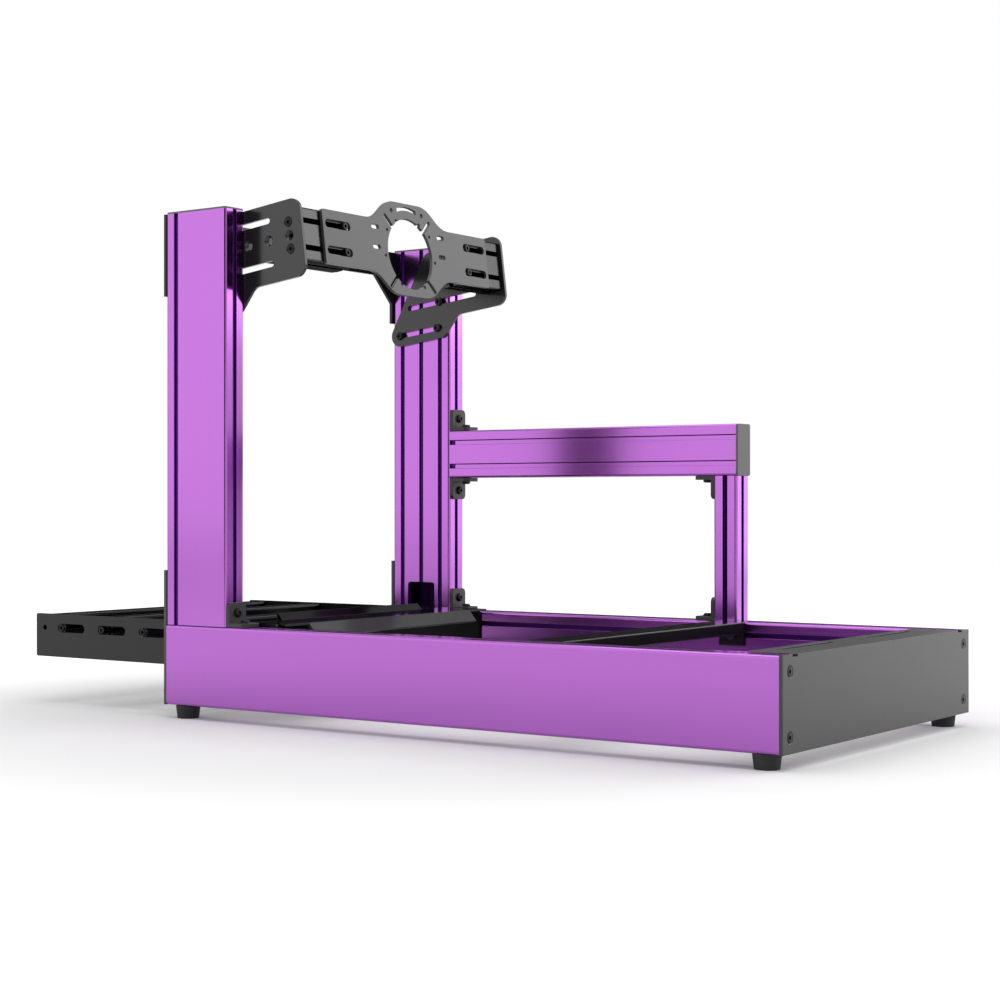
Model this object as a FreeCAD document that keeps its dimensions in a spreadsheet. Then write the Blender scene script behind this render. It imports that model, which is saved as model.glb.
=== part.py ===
import FreeCAD, Part
import os
import re
import Sketcher

# Sim racing cockpit: two slotted aluminium rails, two uprights with a wheel mount between
# them, a shifter arm on its post, and a pedal deck that reaches out past the front.
# Millimetres, +X to the driver's right, +Y forward, +Z up, floor at Z = 0.
SIZES = {
    # Chassis
    "chassis_width": 590.0,
    "rail_length": 1020.0,
    "rail_height": 120.0,
    "beam_depth": 40.0,
    "foot_height": 20.0,
    "foot_base_radius": 16.0,
    "foot_top_radius": 18.5,
    "foot_inset": 26.0,
    # Slotted section
    "slot_pitch": 40.0,
    "slot_mouth": 8.2,
    "slot_lip": 4.5,
    "slot_cavity": 18.0,
    "slot_shoulder": 7.0,
    "slot_floor": 9.0,
    "slot_depth": 11.5,
    "core_bore_radius": 3.4,
    "beam_round": 4.0,
    # Uprights
    "upright_width": 120.0,
    "upright_height": 615.0,
    "cap_gauge": 2.5,
    "access_width": 57.0,
    "access_height": 46.0,
    "access_depth": 22.0,
    "access_round": 6.0,
    # Sheet plates
    "plate_gauge": 5.0,
    "fold_gauge": 4.0,
    "bolt_hole_radius": 4.2,
    "sink_depth": 3.8,
    "edge_round": 3.0,
    # Rear plate with its top flange
    "flange_reach": 65.0,
    "flange_gap": 0.3,
    "flange_slot_length": 150.0,
    "flange_slot_width": 9.0,
    "flange_slot_spacing": 250.0,
    "flange_slot_setback": 46.0,
    "relief_width": 14.0,
    "relief_depth": 3.0,
    # Front plates
    "front_sill_height": 52.0,
    "front_leg_rise": 81.5,
    "cross_plate_depth": 43.0,
    "cross_leg_depth": 123.0,
    "cross_gusset_reach": 46.0,
    "cross_gusset_drop": 46.0,
    "cross_tab_half": 94.0,
    "cross_tab_run": 28.0,
    "cross_tab_drop": 7.0,
    # Shifter arm and post
    "arm_height": 80.0,
    "arm_clearance": 224.0,
    "arm_length": 551.0,
    "arm_cap_gauge": 3.4,
    "post_setback": 2.5,
    "cover_setback": 12.0,
    "cover_inset": 1.2,
    "cover_clearance": 0.1,
    "cover_top_gap": 1.5,
    # Angle brackets
    "angle_leg": 36.0,
    "angle_width": 36.0,
    "angle_gauge": 6.0,
    "angle_round": 8.0,
    "angle_hole_place": 21.0,
    # Wheel mount
    "wheel_tilt": 7.2,
    "wheel_plate_setback": 113.5,
    "wheel_plate_rise": 574.9,
    "wheel_beam_height": 80.0,
    "wheel_beam_inner": 135.0,
    "wheel_plate_half": 206.0,
    "wheel_plate_height": 82.0,
    "wheel_lobe_height": 147.0,
    "wheel_lobe_half": 48.0,
    "wheel_neck_half": 88.0,
    "wheel_bore_radius": 55.5,
    "wheel_bore_drop": 6.5,
    "wheel_slot_length": 58.0,
    "wheel_slot_radius": 6.5,
    "wheel_slot_place": 171.5,
    "wheel_notch_reach": 78.0,
    "wheel_notch_radius": 3.2,
    "wheel_notch_angle": 45.0,
    "wheel_bite_reach": 57.0,
    "wheel_bite_radius": 3.0,
    "wheel_bite_angle": 60.0,
    "wheel_rim_reach": 62.7,
    "wheel_rim_radius": 2.6,
    "wheel_rim_upper": 32.0,
    "wheel_rim_lower": -7.0,
    "wheel_ear_place": 82.5,
    "wheel_ear_upper": 28.2,
    "wheel_ear_lower": 2.9,
    "wheel_ear_half": 5.7,
    "wheel_ear_radius": 3.5,
    "wheel_arc_inner": 69.0,
    "wheel_arc_outer": 74.5,
    "wheel_arc_half": 24.0,
    "wheel_brow_place": 38.0,
    "wheel_brow_rise": 59.0,
    "wheel_brow_radius": 3.4,
    "wheel_lobe_round": 50.0,
    # Wheel bracket outline, measured from the wheel plate's face
    "bracket_top": 53.0,
    "bracket_bottom": 63.0,
    "bracket_foot": 96.0,
    "bracket_top_reach": 156.0,
    "bracket_reach": 262.0,
    "bracket_neck": 101.0,
    "bracket_heel": 134.0,
    "bracket_round": 18.0,
    "bracket_slot_radius": 4.5,
    "bracket_slot_start": 64.0,
    "bracket_upper_slot": 29.5,
    "bracket_upper_end": 146.0,
    "bracket_middle_slot": 34.5,
    "bracket_middle_end": 200.0,
    "bracket_lower_slot": 78.0,
    "bracket_lower_start": 140.0,
    "bracket_lower_end": 228.0,
    # Pedal deck
    "deck_reach": 331.0,
    "deck_length": 516.0,
    "deck_top": 4.0,
    "deck_height": 68.5,
    "deck_slot_length": 61.0,
    "deck_slot_radius": 7.0,
    "deck_slot_pitch": 91.0,
    "deck_slot_first": 50.0,
    "deck_bar_size": 40.0,
    "deck_bar_drop": 2.0,
    "deck_bar_middle": 150.0,
    "deck_bar_rear": 317.0,
    # Heel plate
    "heel_overhang": 16.0,
    "heel_depth": 83.0,
    "heel_rise": 5.0,
    "heel_lip_half": 202.0,
    "heel_lip_run": 14.0,
    "heel_lip_drop": 17.0,
    "heel_stop_half": 174.0,
    "heel_stop_rise": 10.0,
    "heel_stop_run": 7.0,
    "heel_gauge": 3.0,
    # Seat crossbar
    "seat_bar_place": 337.0,
    "seat_bar_depth": 53.0,
    "seat_bar_lip": 18.0,
    "seat_tab_width": 43.0,
    "seat_tab_drop": 37.0,
}

doc = FreeCAD.newDocument("cockpit")
sheet = doc.addObject("Spreadsheet::Sheet", "Sizes")
for row, (name, number) in enumerate(SIZES.items(), start=1):
    sheet.set(f"A{row}", name)
    sheet.set(f"B{row}", str(number))
    sheet.setAlias(f"B{row}", name)
doc.recompute()

# Places that several pieces share, as expressions on the sheet.
RAIL_REAR = "((plate_gauge - rail_length - deck_reach) / 2)"
RAIL_FRONT = f"({RAIL_REAR} + rail_length)"
RAIL_TOP = "(foot_height + rail_height)"
RAIL_OUTER = "(chassis_width / 2)"
RAIL_INNER = "(chassis_width / 2 - beam_depth)"
RAIL_MIDDLE = "(chassis_width / 2 - beam_depth / 2)"
UPRIGHT_REAR = f"({RAIL_FRONT} - upright_width)"
UPRIGHT_TOP = f"({RAIL_TOP} + upright_height)"
ARM_BASE = f"({RAIL_TOP} + arm_clearance)"
ARM_REAR = f"({UPRIGHT_REAR} - arm_length)"
POST_REAR = f"({ARM_REAR} + post_setback)"
DECK_FRONT = f"({RAIL_FRONT} + deck_reach)"
DECK_REAR = f"({DECK_FRONT} - deck_length)"
DECK_INNER = f"({RAIL_INNER} - plate_gauge)"
DECK_TOP = f"({RAIL_TOP} + deck_top)"
WHEEL_FACE_Y = f"({UPRIGHT_REAR} - wheel_plate_setback)"
WHEEL_FACE_Z = f"({RAIL_TOP} + wheel_plate_rise)"
TILT_COS = "cos(wheel_tilt * 1deg)"
TILT_SIN = "sin(wheel_tilt * 1deg)"

# Ways a sketch can face: its pad grows along world +Z, +Y or +X.
UP = FreeCAD.Rotation()
FORWARD = FreeCAD.Rotation(FreeCAD.Vector(-1, 0, 0), FreeCAD.Vector(0, 0, 1), FreeCAD.Vector(0, 1, 0), "ZXY")
RIGHT = FreeCAD.Rotation(FreeCAD.Vector(0, 1, 0), FreeCAD.Vector(0, 0, 1), FreeCAD.Vector(1, 0, 0), "ZXY")
pieces = []


def bind(text):
    """Point each size in an expression at its cell."""
    return re.sub(r"[a-z_]+[a-z]", lambda word: f"Sizes.{word[0]}" if word[0] in SIZES else word[0], text)


def worth(text):
    """Work out an expression as a plain number."""
    result = sheet.evalExpression(bind(text))
    return float(getattr(result, "Value", result))


def tie(thing, property_path, text):
    """Bind one property of an object to an expression on the sheet."""
    thing.setExpression(property_path, bind(text))


def place(thing, x_place, y_place, z_place, turn=UP):
    """Set an object's turn and bind the place of its origin."""
    thing.Placement = FreeCAD.Placement(FreeCAD.Vector(), turn)
    tie(thing, "Placement.Base.x", x_place)
    tie(thing, "Placement.Base.y", y_place)
    tie(thing, "Placement.Base.z", z_place)


def new_body(label):
    """Start a sub-part."""
    body = doc.addObject("PartDesign::Body", label)
    body.Label = label
    pieces.append(body)
    return body


class Outline:
    """A sketch on one of a body's own planes, with every point and radius tied to the sheet."""

    def __init__(self, body, role="XY_Plane", lift="0"):
        plane = [item for item in body.Origin.OriginFeatures if item.Role == role][0]
        self.sketch = body.newObject("Sketcher::SketchObject", f"{body.Name}_outline")
        self.sketch.AttachmentSupport = [(plane, "")]
        self.sketch.MapMode = "FlatFace"
        tie(self.sketch, "AttachmentOffset.Base.z", lift)
        self.held = []

    def hold(self, *constraint):
        """Note a constraint that has no size."""
        self.held.append((Sketcher.Constraint(*constraint), None))

    def measure(self, kind, geometry, point, text):
        """Note that one point's X or Y, or a circle's radius, follows an expression."""
        if kind == "Radius":
            constraint = Sketcher.Constraint("Radius", geometry, worth(text))
        else:
            constraint = Sketcher.Constraint(kind, -1, 1, geometry, point, worth(text))
        self.held.append((constraint, text))

    def finished(self):
        """Add the constraints in one go, bind their sizes and return the sketch."""
        first = self.sketch.ConstraintCount
        self.sketch.addConstraint([constraint for constraint, text in self.held])
        for index, (constraint, text) in enumerate(self.held, start=first):
            if text is not None:
                self.sketch.setExpression(f"Constraints[{index}]", bind(text))
        return self.sketch

    def locate(self, geometry, point, x_place, y_place):
        """Tie a point's X and Y."""
        self.measure("DistanceX", geometry, point, x_place)
        self.measure("DistanceY", geometry, point, y_place)

    def polygon(self, corners):
        """Close a loop of straight edges through the corners."""
        spots = [FreeCAD.Vector(worth(x), worth(y), 0) for x, y in corners]
        ends = spots[1:] + spots[:1]
        first = self.sketch.GeometryCount
        self.sketch.addGeometry([Part.LineSegment(a, b) for a, b in zip(spots, ends)], False)
        count = len(corners)
        for step in range(count):
            follower = first + (step + 1) % count
            self.hold("Coincident", first + step, 2, follower, 1)
            self.locate(first + step, 1, *corners[step])

    def circle(self, x_place, y_place, radius):
        """Add a round hole."""
        centre = FreeCAD.Vector(worth(x_place), worth(y_place), 0)
        ring = Part.Circle(centre, FreeCAD.Vector(0, 0, 1), worth(radius))
        index = self.sketch.addGeometry(ring, False)
        self.locate(index, 3, x_place, y_place)
        self.measure("Radius", index, 0, radius)

    def slot(self, start, end, radius):
        """Add a slot with round ends between two centres."""
        first, last = [FreeCAD.Vector(worth(x), worth(y), 0) for x, y in (start, end)]
        along = (last - first).normalize()
        side = FreeCAD.Vector(-along.y, along.x, 0) * worth(radius)
        edges = [
            Part.Arc(first + side, first - along * worth(radius), first - side),
            Part.LineSegment(first - side, last - side),
            Part.Arc(last - side, last + along * worth(radius), last + side),
            Part.LineSegment(last + side, first + side),
        ]
        base = self.sketch.GeometryCount
        self.sketch.addGeometry(edges, False)
        for step in range(4):
            here = base + step
            following = base + (step + 1) % 4
            self.hold("Tangent", here, 2, following, 1)
        self.locate(base, 3, *start)
        self.locate(base + 2, 3, *end)
        self.measure("Radius", base, 0, radius)
        self.hold("Equal", base, base + 2)

    def arc_slot(self, x_centre, y_centre, inner, outer, half_width):
        """Add a curved slot over a centre, square at both ends."""
        centre = FreeCAD.Vector(worth(x_centre), worth(y_centre), 0)
        half = worth(half_width)
        base = self.sketch.GeometryCount
        rims = []
        for radius in (worth(inner), worth(outer)):
            height = (radius ** 2 - half ** 2) ** 0.5
            right = centre + FreeCAD.Vector(half, height, 0)
            left = centre + FreeCAD.Vector(-half, height, 0)
            rims.append((right, centre + FreeCAD.Vector(0, radius, 0), left))
        self.sketch.addGeometry([Part.Arc(*rim) for rim in rims], False)
        self.sketch.addGeometry([Part.LineSegment(rims[0][end], rims[1][end]) for end in (0, 2)], False)
        for arc, radius in ((base, inner), (base + 1, outer)):
            self.locate(arc, 3, x_centre, y_centre)
            self.measure("Radius", arc, 0, radius)
            self.measure("DistanceX", arc, 1, f"{x_centre} + {half_width}")
            self.measure("DistanceX", arc, 2, f"{x_centre} - {half_width}")
        for line, end in ((base + 2, 1), (base + 3, 2)):
            self.hold("Coincident", line, 1, base, end)
            self.hold("Coincident", line, 2, base + 1, end)


def pad(body, outline, length):
    """Grow a sketch into a solid."""
    feature = body.newObject("PartDesign::Pad", f"{body.Name}_pad")
    feature.Profile = outline.finished()
    tie(feature, "Length", length)
    doc.recompute()
    return feature


def pocket(body, outline, depth):
    """Cut a sketch into the solid above its plane, and make sure that it took material away."""
    before = body.Shape.Volume
    feature = body.newObject("PartDesign::Pocket", f"{body.Name}_pocket")
    feature.Profile = outline.finished()
    feature.Reversed = True
    tie(feature, "Length", depth)
    doc.recompute()
    if body.Shape.Volume >= before:
        raise RuntimeError(f"{feature.Name} cut nothing")
    return feature


def cut_through(body, outline):
    """Cut a sketch right through the solid both ways."""
    before = body.Shape.Volume
    feature = body.newObject("PartDesign::Pocket", f"{body.Name}_through")
    feature.Profile = outline.finished()
    feature.Type = "ThroughAll"
    feature.SideType = "Symmetric"
    doc.recompute()
    if body.Shape.Volume >= before:
        raise RuntimeError(f"{feature.Name} cut nothing")
    return feature


def fillet(body, feature, radius, chosen):
    """Round the edges of a feature for which chosen(edge) is true."""
    edges = enumerate(feature.Shape.Edges, start=1)
    names = [f"Edge{number}" for number, edge in edges if chosen(edge)]
    rounding = body.newObject("PartDesign::Fillet", f"{body.Name}_round")
    rounding.Base = (feature, names)
    tie(rounding, "Radius", radius)
    doc.recompute()
    return rounding


def countersink(body, level):
    """Widen the bolt holes of a plate for flat heads, on the face at that height of its pad."""
    feature = body.Tip
    height = worth(level)

    def hole_rim(edge):
        if edge.Curve.TypeId != "Part::GeomCircle":
            return False
        same_size = abs(edge.Curve.Radius - worth("bolt_hole_radius")) < 1e-6
        return same_size and abs(edge.Curve.Center.z - height) < 1e-6

    edges = enumerate(feature.Shape.Edges, start=1)
    names = [f"Edge{number}" for number, edge in edges if hole_rim(edge)]
    if not names:
        raise RuntimeError(f"{body.Label} has no bolt holes to widen")
    sink = body.newObject("PartDesign::Chamfer", f"{body.Name}_sink")
    sink.Base = (feature, names)
    tie(sink, "Size", "sink_depth")
    doc.recompute()


def along_pad(edge):
    """Tell whether an edge is straight and runs along the pad."""
    if edge.Curve.TypeId != "Part::GeomLine":
        return False
    return abs(abs(edge.tangentAt(edge.FirstParameter).z) - 1) < 1e-6


def slot_corners(side, offset, width, depth):
    """List the corners of one T-slot, in order round the section."""
    walk = [
        ("-slot_mouth / 2", "0"),
        ("-slot_mouth / 2", "slot_lip"),
        ("-slot_cavity / 2", "slot_lip"),
        ("-slot_cavity / 2", "slot_shoulder"),
        ("-slot_floor / 2", "slot_depth"),
        ("slot_floor / 2", "slot_depth"),
        ("slot_cavity / 2", "slot_shoulder"),
        ("slot_cavity / 2", "slot_lip"),
        ("slot_mouth / 2", "slot_lip"),
        ("slot_mouth / 2", "0"),
    ]
    to_section = {
        "bottom": lambda a, n: (f"{offset} + ({a})", f"-{depth} / 2 + {n}"),
        "right": lambda a, n: (f"{width} / 2 - {n}", f"{offset} + ({a})"),
        "top": lambda a, n: (f"{offset} - ({a})", f"{depth} / 2 - {n}"),
        "left": lambda a, n: (f"-{width} / 2 + {n}", f"{offset} - ({a})"),
    }[side]
    return [to_section(along, inward) for along, inward in walk]


def slotted_beam(label, width, depth, length, slots, bores):
    """Extrude a section with T-slots at the offsets listed for each side, from low to high."""
    corners = []
    starts = {
        "bottom": (f"-{width} / 2", f"-{depth} / 2"),
        "right": (f"{width} / 2", f"-{depth} / 2"),
        "top": (f"{width} / 2", f"{depth} / 2"),
        "left": (f"-{width} / 2", f"{depth} / 2"),
    }
    for side, start in starts.items():
        corners.append(start)
        offsets = slots.get(side, [])
        if side in ("top", "left"):
            offsets = offsets[::-1]
        for offset in offsets:
            corners.extend(slot_corners(side, offset, width, depth))
    body = new_body(label)
    section = Outline(body)
    section.polygon(corners)
    for x_place, y_place in bores:
        section.circle(x_place, y_place, "core_bore_radius")
    solid = pad(body, section, length)
    half_width, half_depth = worth(width) / 2, worth(depth) / 2

    def corner(edge):
        spot = edge.CenterOfMass
        at_corner = abs(abs(spot.x) - half_width) < 1e-6 and abs(abs(spot.y) - half_depth) < 1e-6
        return at_corner and along_pad(edge)

    fillet(body, solid, "beam_round", corner)
    return body


def mirrored(corners):
    """Carry a half outline on round to the other side of X = 0."""
    return [(f"-({x})", y) for x, y in reversed(corners)]


def rectangle(low_x, low_y, high_x, high_y):
    """List the corners of a rectangle."""
    return [(low_x, low_y), (high_x, low_y), (high_x, high_y), (low_x, high_y)]


THREE_ROWS = ["-slot_pitch", "0", "slot_pitch"]
TWO_ROWS = ["-slot_pitch / 2", "slot_pitch / 2"]
SIDES = {"left": -1, "right": 1}


def build_rails():
    """Chassis rails: plain outside, slotted inside, on top and below."""
    for name, sign in SIDES.items():
        inner_side = "left" if sign < 0 else "right"
        slots = {inner_side: THREE_ROWS, "top": ["0"], "bottom": ["0"]}
        bores = [("0", row) for row in THREE_ROWS]
        rail = slotted_beam(f"{name}_rail", "beam_depth", "rail_height", "rail_length", slots, bores)
        middle_height = "foot_height + rail_height / 2"
        place(rail, f"{sign} * {RAIL_MIDDLE}", RAIL_REAR, middle_height, FORWARD)


def build_feet():
    """Tapered rubber feet under the rails."""
    ends = {"rear": f"{RAIL_REAR} + foot_inset", "front": f"{RAIL_FRONT} - foot_inset"}
    for end, along in ends.items():
        for name, sign in SIDES.items():
            label = f"{end}_{name}_foot"
            foot = doc.addObject("Part::Cone", label)
            foot.Label = label
            tie(foot, "Radius1", "foot_base_radius")
            tie(foot, "Radius2", "foot_top_radius")
            tie(foot, "Height", "foot_height")
            place(foot, f"{sign} * {RAIL_MIDDLE}", along, "0")
            pieces.append(foot)


def access_corner(edge):
    """Tell whether an edge is one of the two upper corners of an upright's access pocket."""
    spot = edge.CenterOfMass
    at_top = abs(spot.z - worth("access_height")) < 1e-6
    return at_top and abs(abs(spot.y) - worth("access_width") / 2) < 1e-6


def build_uprights():
    """Wheel uprights with an access pocket at the foot of the inner face, and their top caps."""
    for name, sign in SIDES.items():
        inner_side, outer_side = ("right", "left") if sign < 0 else ("left", "right")
        slots = {inner_side: THREE_ROWS, outer_side: ["slot_pitch"], "top": ["0"], "bottom": ["0"]}
        bores = [("0", row) for row in THREE_ROWS]
        body = slotted_beam(f"{name}_upright", "beam_depth", "upright_width", "upright_height", slots, bores)
        mouth = Outline(body)
        inner_face = f"{-sign} * beam_depth / 2"
        recess = f"{-sign} * (beam_depth / 2 - access_depth)"
        mouth.polygon(rectangle(inner_face, "-access_width / 2", recess, "access_width / 2"))
        recessed = pocket(body, mouth, "access_height")
        fillet(body, recessed, "access_round", access_corner)
        middle = f"{UPRIGHT_REAR} + upright_width / 2"
        place(body, f"{sign} * {RAIL_MIDDLE}", middle, RAIL_TOP)
        cap = new_body(f"{name}_upright_cap")
        outline = Outline(cap)
        half_width, half_depth = "beam_depth / 2", "upright_width / 2"
        outline.polygon(rectangle(f"-{half_width}", f"-{half_depth}", half_width, half_depth))
        sheet_pad = pad(cap, outline, "cap_gauge")
        fillet(cap, sheet_pad, "beam_round", along_pad)
        place(cap, f"{sign} * {RAIL_MIDDLE}", middle, UPRIGHT_TOP)


def build_rear_plate():
    """Rear plate over both rail ends, folded forward into a slotted flange between the rails."""
    body = new_body("rear_plate")
    flange_half = f"({RAIL_INNER} - flange_gap)"
    outline = Outline(body)
    half = [
        (RAIL_OUTER, "0"),
        (RAIL_OUTER, "rail_height"),
        (f"{flange_half} + relief_width", "rail_height"),
        (f"{flange_half} + relief_width", "rail_height - relief_depth"),
        (flange_half, "rail_height - relief_depth"),
        (flange_half, "rail_height"),
    ]
    outline.polygon(half + mirrored(half))
    for sign in SIDES.values():
        for row in ("slot_pitch / 2", "rail_height - slot_pitch / 2"):
            outline.circle(f"{sign} * {RAIL_MIDDLE}", row, "bolt_hole_radius")
    pad(body, outline, "plate_gauge")
    flange = Outline(body)
    flange.polygon(rectangle(f"-{flange_half}", "rail_height - plate_gauge", flange_half, "rail_height"))
    pad(body, flange, "plate_gauge + flange_reach")
    slots = Outline(body, "XZ_Plane")
    run = "(flange_slot_length - flange_slot_width) / 2"
    for sign in SIDES.values():
        middle = f"{sign} * flange_slot_spacing / 2"
        ends = [(f"{middle} {way} {run}", "plate_gauge + flange_slot_setback") for way in "-+"]
        slots.slot(ends[0], ends[1], "flange_slot_width / 2")
    cut_through(body, slots)
    countersink(body, "0")
    place(body, "0", f"{RAIL_REAR} - plate_gauge", "foot_height", FORWARD)


def build_front_plates():
    """Plates on the front: a sill with two legs up the uprights, and a cross plate at the top."""
    sill = new_body("front_plate")
    outline = Outline(sill)
    leg_top = "rail_height + front_leg_rise"
    half = [
        (RAIL_OUTER, "0"),
        (RAIL_OUTER, leg_top),
        (RAIL_INNER, leg_top),
        (RAIL_INNER, "front_sill_height"),
    ]
    outline.polygon(half + mirrored(half))
    for sign in SIDES.values():
        for row in ("slot_pitch / 2", "rail_height - slot_pitch / 2", "rail_height + slot_pitch"):
            outline.circle(f"{sign} * {RAIL_MIDDLE}", row, "bolt_hole_radius")
    pad(sill, outline, "plate_gauge")
    countersink(sill, "plate_gauge")
    place(sill, "0", RAIL_FRONT, "foot_height", FORWARD)

    cross = new_body("front_cross_plate")
    outline = Outline(cross)
    half = [
        ("cross_tab_half", "-cross_plate_depth - cross_tab_drop"),
        ("cross_tab_half + cross_tab_run", "-cross_plate_depth"),
        (f"{DECK_INNER} - cross_gusset_reach", "-cross_plate_depth"),
        (DECK_INNER, "-cross_plate_depth - cross_gusset_drop"),
        (DECK_INNER, "-cross_leg_depth"),
        (RAIL_OUTER, "-cross_leg_depth"),
        (RAIL_OUTER, "0"),
    ]
    outline.polygon(half + mirrored(half))
    for sign in SIDES.values():
        for row in ("-slot_pitch / 2", "-cross_leg_depth + slot_pitch / 2"):
            outline.circle(f"{sign} * {RAIL_MIDDLE}", row, "bolt_hole_radius")
    pad(cross, outline, "plate_gauge")
    countersink(cross, "plate_gauge")
    place(cross, "0", RAIL_FRONT, UPRIGHT_TOP, FORWARD)


def build_shifter_arm():
    """Shifter arm with covered slots and an end cap, and the post that carries it."""
    slots = {"right": TWO_ROWS, "left": TWO_ROWS, "top": ["0"], "bottom": ["0"]}
    bores = [("0", row) for row in TWO_ROWS]
    arm_run = "(arm_length - arm_cap_gauge)"
    arm = slotted_beam("shifter_arm", "beam_depth", "arm_height", arm_run, slots, bores)
    arm_middle = f"{ARM_BASE} + arm_height / 2"
    place(arm, RAIL_MIDDLE, f"{ARM_REAR} + arm_cap_gauge", arm_middle, FORWARD)

    cap = new_body("shifter_arm_cap")
    outline = Outline(cap)
    outline.polygon(rectangle("-beam_depth / 2", "-arm_height / 2", "beam_depth / 2", "arm_height / 2"))
    fillet(cap, pad(cap, outline, "arm_cap_gauge"), "beam_round", along_pad)
    place(cap, RAIL_MIDDLE, ARM_REAR, arm_middle, FORWARD)

    for name, row in zip(("lower", "upper"), TWO_ROWS):
        label = f"shifter_arm_{name}_cover"
        cover = doc.addObject("Part::Box", label)
        cover.Label = label
        tie(cover, "Length", "slot_lip - cover_inset")
        tie(cover, "Width", f"{arm_run} - cover_setback")
        tie(cover, "Height", "slot_mouth - cover_clearance - cover_top_gap")
        low_edge = f"{arm_middle} + {row} - slot_mouth / 2 + cover_clearance"
        place(cover, f"{RAIL_INNER} + cover_inset", f"{ARM_REAR} + arm_cap_gauge", low_edge)
        pieces.append(cover)

    four_slots = {side: ["0"] for side in ("bottom", "right", "top", "left")}
    side = "beam_depth"
    post = slotted_beam("shifter_post", side, side, "arm_clearance", four_slots, [("0", "0")])
    place(post, RAIL_MIDDLE, f"{POST_REAR} + beam_depth / 2", RAIL_TOP)


def angle_bracket(label, x_middle, corner_y, corner_z, along, up):
    """Make an angle bracket in a corner, one leg along +Y or -Y and one up or down."""
    body = new_body(label)
    outline = Outline(body)
    outline.polygon([
        ("0", "0"),
        ("angle_leg", "0"),
        ("angle_leg", "angle_gauge"),
        ("angle_gauge", "angle_gauge"),
        ("angle_gauge", "angle_leg"),
        ("0", "angle_leg"),
    ])
    solid = pad(body, outline, "angle_width")
    leg = worth("angle_leg")

    def leg_corner(edge):
        middle = edge.CenterOfMass
        at_end = abs(middle.x - leg) < 1e-6 or abs(middle.y - leg) < 1e-6
        return at_end and not along_pad(edge) and abs(edge.Length - worth("angle_gauge")) < 1e-6

    fillet(body, solid, "angle_round", leg_corner)
    for role, spot in (("XZ_Plane", ("angle_hole_place", "angle_width / 2")),
                       ("YZ_Plane", ("angle_hole_place", "angle_width / 2"))):
        hole = Outline(body, role)
        hole.circle(*spot, "bolt_hole_radius")
        cut_through(body, hole)
    across = FreeCAD.Vector(along * up, 0, 0)
    turn = FreeCAD.Rotation(FreeCAD.Vector(0, along, 0), FreeCAD.Vector(0, 0, up), across, "ZXY")
    place(body, f"{x_middle} - {along * up} * angle_width / 2", corner_y, corner_z, turn)


def build_angle_brackets():
    """Angle brackets behind the uprights, at the arm and at the post."""
    for name, sign in SIDES.items():
        angle_bracket(f"{name}_upright_bracket", f"{sign} * {RAIL_MIDDLE}", UPRIGHT_REAR, RAIL_TOP, -1, 1)
    angle_bracket("arm_upper_bracket", RAIL_MIDDLE, UPRIGHT_REAR, f"{ARM_BASE} + arm_height", -1, 1)
    angle_bracket("arm_lower_bracket", RAIL_MIDDLE, UPRIGHT_REAR, ARM_BASE, -1, -1)
    post_front = f"{POST_REAR} + beam_depth"
    angle_bracket("post_upper_bracket", RAIL_MIDDLE, post_front, ARM_BASE, 1, -1)
    angle_bracket("post_lower_bracket", RAIL_MIDDLE, post_front, RAIL_TOP, 1, 1)


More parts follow.
